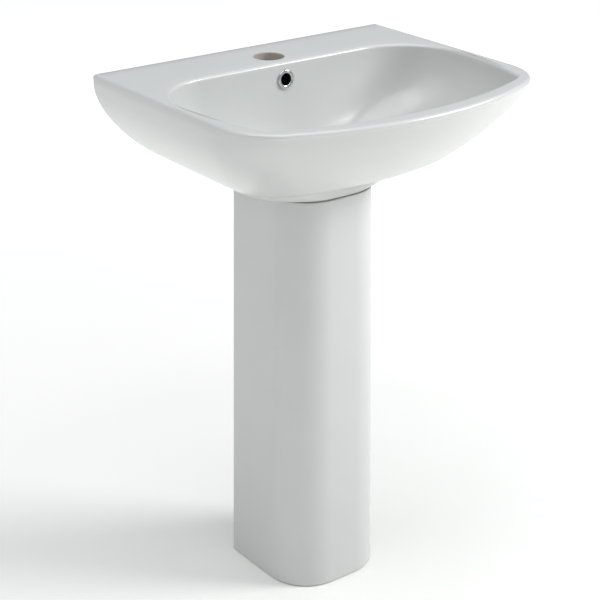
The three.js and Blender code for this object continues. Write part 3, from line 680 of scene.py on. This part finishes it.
def make_pedestal():
    """Glazed all over, except for the top edge and the foot it stands on."""
    levels = [
        (PEDESTAL_TOP - TOP_EDGE * (1 - math.cos(turn)), TOP_EDGE * (1 - math.sin(turn)))
        for turn in quarter(4)
    ]
    levels += [(lerp(PEDESTAL_TOP - TOP_EDGE, FOOT_EDGE, step / 12), 0) for step in range(1, 13)]
    for turn in quarter(5)[1:]:
        levels.append((FOOT_EDGE * (1 - math.sin(turn)), FOOT_EDGE * (1 - math.cos(turn))))
    pedestal = lofted([u_section(margin, z) for z, margin in levels], "pedestal_china")
    pedestal.data.materials.append(CHINA)
    pedestal.data.materials.append(BARE_CHINA)
    for face in pedestal.data.polygons:
        face.material_index = int(abs(face.normal.z) > 0.9)
    return fit(pedestal, ROOT, "ceramic", CHINA, "pedestal")


def make_gasket():
    """The soft strip on the pedestal's top edge, open at the back."""
    low, high = (corner.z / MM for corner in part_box("seat_gasket"))
    drawn_in = GASKET_MARGIN + GASKET_SOFTENING
    levels = (
        (high, drawn_in), (high - GASKET_SOFTENING, GASKET_MARGIN),
        (low + GASKET_SOFTENING, GASKET_MARGIN), (low, drawn_in),
    )
    rings = []
    for z, margin in levels:
        back = PEDESTAL["back"] + GASKET_MARGIN
        outer = right_half({**inset(PEDESTAL, margin), "back": back}, 3)
        inner = right_half({**inset(PEDESTAL, PEDESTAL_WALL - margin), "back": back}, 3)
        right = outer + inner[::-1]
        flat = without_doubles(right + mirrored(right))
        rings.append([Vector((point.x, point.y, z)) for point in flat])
    return fit(lofted(rings, "seat_gasket_silicone"), ROOT, "rubber", SILICONE, "seat_gasket")


# ---------------------------------------------------------------- turned and threaded fittings
DRAIN = Matrix.Translation((0, DRAIN_Y, 0))
OUTLET_Z = 560
OUTLET = Matrix.Translation((0, DRAIN_Y, OUTLET_Z)) @ TO_WALL
FLANGE_LOW = FLOOR_Z - 1.5
FLANGE_TOP = FLANGE_LOW + 3
WASTE_RADIUS, WASTE_BORE = 20.9, 17.5
TUBE_RADIUS, TUBE_BORE = 16, 14.4
TUBE_TOP, WASTE_LOW = 636, 640
HUB_LOW, HUB_HIGH = 668, 676
GAP = 0.3


def thread(radius, low, high, pitch=2.0, depth=0.7):
    """The outline of a thread's crests from low to high. They are rings, not a helix."""
    crest_start, crest_end = 0.35, 0.6
    turns = int((high - low) / pitch)
    points = []
    for turn in range(turns):
        z = low + turn * pitch
        points += [(radius - depth, z), (radius, z + pitch * crest_start), (radius, z + pitch * crest_end)]
    end = low + turns * pitch
    return points + [(radius - depth, end), (radius, end + 0.5)]


def turned(name, profile, frame_at, facets=96, soften=0.4, closed=True):
    profile = rounded(profile, soften) if soften else profile
    return finished(moved(spun(profile, facets, closed), frame_at), name)


def ribbed(piece_bm, radius, low, high, ribs, depth):
    """Presses grip grooves into the outer face of a turned piece between two heights."""
    for vert in piece_bm.verts:
        flat = Vector((vert.co.x, vert.co.y))
        if flat.length > radius - 0.6 and low <= vert.co.z <= high:
            turn = math.atan2(flat.y, flat.x)
            sunk = flat.length - depth * (0.5 + 0.5 * math.cos(ribs * turn)) ** 3
            vert.co.x, vert.co.y = flat.normalized() * sunk
    return piece_bm


def hexagonal_nut(name, flats, low, high, inner, frame_at, face=0.96):
    """A nut with chamfered corners; inner lists the bore's (radius, height) from the top down."""
    half, sixth, count = flats / 2, math.pi / 3, 72
    turns = [2 * math.pi * index / count for index in range(count)]
    limits = [(0, half * face), (0.35, half * 0.99), (0.9, half * 1.045), (1.9, flats)]

    def ring_at(z, radius_at):
        points = []
        for turn in turns:
            radius, angle = radius_at(turn), turn + sixth / 2
            points.append(Vector((radius * math.cos(angle), radius * math.sin(angle), z)))
        return points

    def hexagon(z, limit):
        def radius_at(turn):
            off_flat = (turn + sixth / 2) % sixth - sixth / 2
            return min(half / math.cos(off_flat), half * 1.14, limit)
        return ring_at(z, radius_at)

    rings = [hexagon(low + lift, limit) for lift, limit in limits]
    rings += [hexagon(high - lift, limit) for lift, limit in reversed(limits)]
    rings += [ring_at(z, lambda turn, bore=radius: bore) for radius, z in inner]
    return finished(moved(loft(rings, closed=True), frame_at), name)


def nut_bore(bore, low, high):
    """A plain bore with a countersink at each end, from the top down."""
    return [(bore + 0.6, high), (bore, high - 0.6), (bore, low + 0.6), (bore + 0.6, low)]


def make_overflow_ring():
    bore, ring, neck, tail = 9.6, 15, 10.7, 8
    middle, swell = (ring + bore) / 2, (ring - bore) / 2
    profile = [(bore, tail)]
    for step in range(17):
        turn = math.pi + step / 16 * math.pi
        profile.append((middle + swell * math.cos(turn), 0.6 * swell * math.sin(turn)))
    profile += [(ring, GAP), (neck, GAP), (neck, tail)]
    piece = turned("overflow_ring_chrome", profile, overflow_at(GAP), soften=0)
    return fit(piece, ROOT, "chrome", CHROME, "overflow_ring")


def make_waste():
    profile = [(WASTE_BORE, WASTE_LOW), (WASTE_RADIUS - 0.7, WASTE_LOW)]
    profile += thread(WASTE_RADIUS, WASTE_LOW + 0.8, 684)
    profile += rounded([
        (WASTE_RADIUS, FLANGE_LOW), (32, FLANGE_LOW), (32, FLANGE_TOP - 1.2), (30.5, FLANGE_TOP),
        (WASTE_BORE + 6, FLANGE_TOP), (WASTE_BORE, FLANGE_TOP - 2.6),
    ], 0.5)
    piece = turned("waste_chrome", profile, DRAIN, soften=0)
    bore, rim = 9.8, 12.5
    hub = [(bore, HUB_LOW), (rim, HUB_LOW), (rim, HUB_HIGH), (bore, HUB_HIGH)]
    hub = turned("hub", hub, DRAIN, soften=0)
    combine(piece, hub, "UNION")
    for spoke in range(3):
        arm = block((11.5, -1.5, HUB_LOW), (18.5, 1.5, HUB_HIGH), "arm")
        turn = Matrix.Rotation(math.pi / 6 + spoke * 2 * math.pi / 3, 4, "Z")
        arm.data.transform(Matrix.Translation((0, DRAIN_Y * MM, 0)) @ turn)
        combine(piece, arm, "UNION")
    for low, high in ((12, 30), (-30, -12)):
        combine(piece, block((-8, DRAIN_Y + low, 694), (8, DRAIN_Y + high, 704), "slot"), "DIFFERENCE")
    piece.data.set_sharp_from_angle(angle=math.radians(SHARP_ANGLE))
    fit(piece, ROOT, "chrome", CHROME, "waste_body")

    low, high = (corner.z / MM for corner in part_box("waste_flange_seal"))
    seal = [(21.9, low), (31, low), (31, high), (21.9, high)]
    seal = turned("waste_flange_rubber", seal, DRAIN, soften=0.3)
    fit(seal, ROOT, "rubber", RUBBER, "waste_flange_seal")
    low, high = (corner.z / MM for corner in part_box("waste_cone_seal"))
    bore = WASTE_RADIUS + GAP
    cone = [(bore, low), (bore + 7, low), (bore + 11, high - 5), (bore + 11, high), (bore, high)]
    fit(turned("waste_cone_rubber", cone, DRAIN, soften=0.8), ROOT, "rubber", RUBBER, "waste_cone_seal")
    flats, low, high = 58, 663, 676.1
    nut = hexagonal_nut("waste_back_nut_brass", flats, low, high, nut_bore(bore, low, high), DRAIN)
    fit(nut, ROOT, "brass", BRASS, "waste_back_nut")


def make_plug():
    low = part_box("plug_cap")[0].z / MM
    profile = [(0, low), (23, low), (23.7, low + 0.3), (24, low + 1)]
    for turn in quarter(16)[1:]:
        profile.append((24 * math.cos(turn), low + 1.5 + 3.2 * math.sin(turn)))
    profile[-1] = (0, low + 4.7)
    piece = turned("plug_cap_chrome", profile, DRAIN, soften=0, closed=False)
    fit(piece, PLUG, "chrome", CHROME, "plug_cap")

    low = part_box("plug_seal")[0].z / MM
    seal = [(11, low + 0.5), (20, low), (22, low + 0.5), (22, low + 1.8), (11, low + 1.8)]
    fit(turned("plug_seal_rubber", seal, DRAIN, soften=0.3), PLUG, "rubber", RUBBER, "plug_seal")

    low, high = (corner.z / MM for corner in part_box("plug_stem"))
    stem = [(0, low), (6.5, low), (6.5, low + 4), (4, low + 4)]
    stem += thread(4, high - 12, high - 3, pitch=1, depth=0.3)
    stem += [(4, high - 2), (10, high - 1.5), (10, high), (0, high)]
    piece = turned("plug_stem_brass", stem, DRAIN, 48, soften=0, closed=False)
    fit(piece, PLUG, "brass", BRASS, "plug_stem")

    shoulder = HUB_HIGH + GAP
    low, high = (corner.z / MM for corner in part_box("plug_cartridge"))
    cartridge = [
        (0, low), (9.5, low), (9.5, shoulder), (12.5, shoulder), (12.5, shoulder + 3), (9.5, shoulder + 3),
        (9.5, high), (4.4, high), (4.4, high - 3), (7, high - 3), (7, low + 3), (0, low + 3),
    ]
    piece = turned("plug_cartridge_brass", cartridge, DRAIN, 48, soften=0.4, closed=False)
    fit(piece, ROOT, "brass", BRASS, "plug_cartridge")


def make_spring():
    """A compression spring, made at its rest length; nothing here shortens it as the plug goes down."""
    low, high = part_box("plug_spring")
    wire, turns, radius, press = 0.6, 6, 5.5, 0.008
    bottom, top = low.z / MM + wire, high.z / MM - wire
    bm = bmesh.new()
    section = bmesh.ops.create_circle(
        bm, cap_ends=True, segments=10, radius=wire,
        matrix=Matrix.Translation((radius, 0, bottom)) @ Matrix.Rotation(math.pi / 2, 4, "X"),
    )["verts"]
    faces = list({face for vert in section for face in vert.link_faces})
    steps = turns * 24
    grown = bmesh.ops.spin(
        bm, geom=faces, cent=(0, 0, 0), axis=(0, 0, 1), dvec=(0, 0, (top - bottom) / steps),
        angle=turns * 2 * math.pi, steps=steps, use_merge=False,
    )["geom_last"]
    bmesh.ops.contextual_create(bm, geom=[item for item in grown if isinstance(item, bmesh.types.BMEdge)])
    piece = finished(moved(bm, DRAIN), "plug_spring_steel", 60)
    fit(piece, ROOT, "steel", ZINC, "plug_spring")
    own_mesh(piece)


# ---------------------------------------------------------------- bottle trap
def make_trap():
    make_coupling()
    grip, wall, low, top, seat = 22.3, 27, 591, 612, 606.5
    neck = TUBE_RADIUS + 0.5
    profile = [(grip, low), (wall, low), (wall, 609), (25, top), (neck, top), (neck, seat), (grip, seat)]
    nut = ribbed(spun(rounded(profile, 0.6), 192), wall, 592, 609.5, 24, 1.2)
    piece = finished(moved(nut, DRAIN), "trap_body_nut_plastic")
    fit(piece, ROOT, "white_plastic", WHITE_PLASTIC, "trap_body_nut")
    inner, outer, low, high = 16.3, 21.7, 602.3, 606.2
    washer = [(inner, low), (outer, low), (outer, high), (inner, high)]
    fit(turned("trap_body_rubber", washer, DRAIN), ROOT, "rubber", RUBBER, "trap_body_washer")
    make_trap_body()
    make_cup()


def make_coupling():
    """The nut, washer and tube that take the waste's tail down into the trap."""
    low, seat, high = 627, 632, 652
    wide, narrow = WASTE_RADIUS + GAP, TUBE_RADIUS + 0.5
    inner = [
        (wide + 0.6, high), (wide, high - 0.6), (wide, seat), (narrow, seat), (narrow, low + 0.4),
        (TUBE_RADIUS + 0.9, low),
    ]
    nut = hexagonal_nut("trap_coupling_nut_plastic", 52, low, high, inner, DRAIN, face=0.985)
    fit(nut, ROOT, "white_plastic", WHITE_PLASTIC, "trap_coupling_nut")
    inner, flange = 15.4, 20.5
    low, high = TUBE_TOP + GAP, WASTE_LOW - GAP
    washer = [(inner, low), (flange, low), (flange, high), (inner, high)]
    fit(turned("trap_coupling_rubber", washer, DRAIN), ROOT, "rubber", RUBBER, "trap_coupling_washer")
    low, shoulder = 488, TUBE_TOP - 3
    tube = [
        (TUBE_BORE, low), (TUBE_RADIUS, low), (TUBE_RADIUS, shoulder), (flange, shoulder),
        (flange, TUBE_TOP), (TUBE_BORE, TUBE_TOP),
    ]
    fit(turned("trap_tube_plastic", tube, DRAIN), ROOT, "white_plastic", WHITE_PLASTIC, "trap_inlet_tube")


def make_trap_body():
    shell = [(29, 525.5), (31.3, 525.5)] + thread(32, 526, 537, pitch=2.5) + rounded([
        (32, 540), (34, 540), (34, 575), (30, 583), (22, 588), (22, 602), (16.6, 602), (16.6, 582), (26, 575),
    ], 1.2)
    body = turned("trap_body_plastic", shell, DRAIN, soften=0)
    branch_profile = [(0, 26), (19, 26), (19, 30)] + thread(19, 38, 54) + [(19, 56), (0, 56)]
    branch = turned("branch", branch_profile, OUTLET, soften=0, closed=False)
    room = finished(moved(rod(29, 541, 574.5, 96), DRAIN), "room")
    combine(branch, room, "DIFFERENCE")
    combine(body, branch, "UNION")
    combine(body, finished(moved(rod(15, 23, 58, 96), OUTLET), "passage"), "DIFFERENCE")
    body.data.shade_smooth()
    body.data.set_sharp_from_angle(angle=math.radians(SHARP_ANGLE))
    fit(body, ROOT, "white_plastic", WHITE_PLASTIC, "trap_body")


def make_cup():
    """The screwed bottle, with grip ribs round its collar."""
    cup = rounded([
        (0, 454), (23.5, 454), (33, 464), (33, 514), (36, 518), (36, 539), (32.3, 539), (32.3, 522),
        (29.5, 522), (29.5, 466), (21.5, 457.5), (0, 457.5),
    ], 1.5)
    bm = ribbed(spun(cup, 240, closed=False), 36, 517, 537.6, 30, 1.1)
    piece = finished(moved(bm, DRAIN), "trap_cup_plastic")
    fit(piece, CUP, "white_plastic", WHITE_PLASTIC, "trap_cup")
    low, high = (corner.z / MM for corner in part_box("trap_cup_seal"))
    seal = [(29.8, low), (31.8, low), (31.8, high), (29.8, high)]
    fit(turned("trap_cup_rubber", seal, DRAIN), CUP_RING, "rubber", RUBBER, "trap_cup_seal")


def make_outlet():
    low, high = 42, 64
    bore = nut_bore(19.3, low, high)
    nut = hexagonal_nut("trap_outlet_nut_plastic", 46, low, high, bore, OUTLET, face=0.985)
    fit(nut, ROOT, "white_plastic", WHITE_PLASTIC, "trap_outlet_nut")
    inner, outer, low, high = 15.2, 18.7, 56.3, 58.7
    washer = [(inner, low), (outer, low), (outer, high), (inner, high)]
    fit(turned("trap_outlet_rubber", washer, OUTLET), ROOT, "rubber", RUBBER, "trap_outlet_washer")
    bore, radius, flange, start, shoulder, end = 14.2, 16, 18.5, 59, 61, 145
    pipe = [
        (bore, start), (flange, start), (flange, shoulder), (radius, shoulder), (radius, end),
        (bore, end),
    ]
    fit(turned("outlet_pipe_plastic", pipe, OUTLET), ROOT, "white_plastic", WHITE_PLASTIC, "outlet_pipe")


# ---------------------------------------------------------------- wall fixings
def make_fixing(side, at):
    """A stud, bush, washer and nut, stacked outwards from the wall with a gap between each."""
    radius, tip, chamfer = 5, 58, 3.5
    stud = [(0, GAP), (4.6, GAP)] + thread(radius, 0.8, 56, pitch=1.5, depth=0.5) + [(chamfer, tip), (0, tip)]
    piece = turned(f"wall_stud_{side}_steel", stud, at, 32, soften=0, closed=False)
    fit(piece, ROOT, "steel", ZINC, f"wall_stud_{side}")
    bore, plate, nut_height, nut_flats = radius + GAP, 2, 8, 17
    collar = APRON_THICKNESS + GAP
    sleeve_end, bush = collar + plate, BOLT_HOLE_RADIUS - GAP
    sleeve = [
        (bore, GAP), (bush, GAP), (bush, collar), (14, collar), (14, sleeve_end), (bore, sleeve_end),
    ]
    piece = turned(f"wall_sleeve_{side}_nylon", sleeve, at, 64)
    fit(piece, ROOT, "grey_plastic", GREY_PLASTIC, f"wall_sleeve_{side}")
    low = sleeve_end + GAP
    high = low + plate
    washer = [(bore, low), (16, low), (16, high), (bore, high)]
    piece = turned(f"wall_washer_{side}_steel", washer, at, 64)
    fit(piece, ROOT, "steel", ZINC, f"wall_washer_{side}")
    low = high + GAP
    high = low + nut_height
    name = f"wall_nut_{side}_steel"
    nut = hexagonal_nut(name, nut_flats, low, high, nut_bore(bore, low, high), at, face=0.95)
    fit(nut, ROOT, "steel", ZINC, f"wall_nut_{side}")


make_basin()
make_pedestal()
make_gasket()
make_overflow_ring()
make_waste()
make_plug()
make_spring()
make_trap()
make_outlet()
for side, fixing in zip(("left", "right"), WALL_FIXINGS):
    make_fixing(side, Matrix.Translation((fixing.x, WALL_Y, fixing.z)) @ FROM_WALL)


# ---------------------------------------------------------------- floor, light and camera
WORLD_STRENGTH = 0.42
KEY_POWER, FILL_POWER, TOP_POWER = 93, 14, 46
NEAR_GLOW, FAR_GLOW = 0.03, 0.5
GLOW_START, GLOW_END = 0.7, 3.0
AIM = Vector((0, 0, 0.6))


def make_floor():
    """A pale floor. It gives off a little light that grows with distance, only so that it fades
    to white behind the sink; a real floor doesn't."""
    material, tree, place = new_material("pale_floor")
    mottle = add(tree, "ShaderNodeTexNoise", [("Vector", place)], Scale=1000 / 400, Detail=2)
    tone = add(tree, "ShaderNodeValToRGB", [("Fac", mottle.outputs["Fac"])], ("#FAFAF7", "#FCFCFA"))
    distance = add(tree, "ShaderNodeVectorMath", [("Vector", place)], Operation="LENGTH")
    glow = add(
        tree, "ShaderNodeMapRange", [("Value", distance.outputs["Value"])],
        From_Min=GLOW_START, From_Max=GLOW_END, To_Min=NEAR_GLOW, To_Max=FAR_GLOW,
    )
    shader = add(
        tree, "ShaderNodeBsdfPrincipled",
        [("Base Color", tone.outputs["Color"]), ("Emission Strength", glow.outputs["Result"])],
        Roughness=0.7, Emission_Color=(1, 1, 1, 1),
    )
    add(tree, "ShaderNodeOutputMaterial", [("Surface", shader.outputs["BSDF"])])
    bm = bmesh.new()
    bmesh.ops.create_grid(bm, x_segments=1, y_segments=1, size=20)
    mesh = bpy.data.meshes.new("floor")
    bm.to_mesh(mesh)
    bm.free()
    floor = bpy.data.objects.new("floor", mesh)
    floor.location.z = -0.0005
    bpy.context.scene.collection.objects.link(floor)
    mesh.materials.append(material)


def soft_light(name, location, size, power):
    lamp = bpy.data.lights.new(name, "AREA")
    lamp.shape, lamp.size, lamp.energy = "DISK", size, power
    light = bpy.data.objects.new(name, lamp)
    light.location = location
    light.rotation_euler = (AIM - light.location).to_track_quat("-Z", "Y").to_euler()
    bpy.context.scene.collection.objects.link(light)


def make_camera():
    """A long lens from the front left, looking down by about 23 degrees."""
    yaw, pitch, roll = math.radians(37.51), math.radians(23.28), 0.0069
    right = Vector((math.cos(yaw), -math.sin(yaw), 0))
    ahead = Vector((math.sin(yaw) * math.cos(pitch), math.cos(yaw) * math.cos(pitch), -math.sin(pitch)))
    up = right.cross(ahead)
    rolled_right = right * math.cos(roll) + up * math.sin(roll)
    rolled_up = up * math.cos(roll) - right * math.sin(roll)
    turn = Matrix((rolled_right, rolled_up, -ahead)).transposed().to_4x4()
    lens = bpy.data.cameras.new("camera")
    lens.lens, lens.sensor_width = 96.1, 36
    camera = bpy.data.objects.new("camera", lens)
    camera.matrix_world = Matrix.Translation((-1.4538, -1.8171, 1.4910)) @ turn
    bpy.context.scene.collection.objects.link(camera)
    bpy.context.scene.camera = camera


def make_world():
    world = bpy.data.worlds.new("studio")
    world.use_nodes = True
    background = world.node_tree.nodes["Background"]
    background.inputs["Color"].default_value = linear("#F3F6FA")
    background.inputs["Strength"].default_value = WORLD_STRENGTH
    bpy.context.scene.world = world
    bpy.context.scene.view_settings.view_transform = "Standard"


make_floor()
make_world()
soft_light("key", (2.6, -1.9, 2.6), 1.6, KEY_POWER)
soft_light("fill", (-2.0, 0.5, 3.0), 3.2, FILL_POWER)
soft_light("top", (-0.4, -0.3, 3.6), 3.2, TOP_POWER)
make_camera()
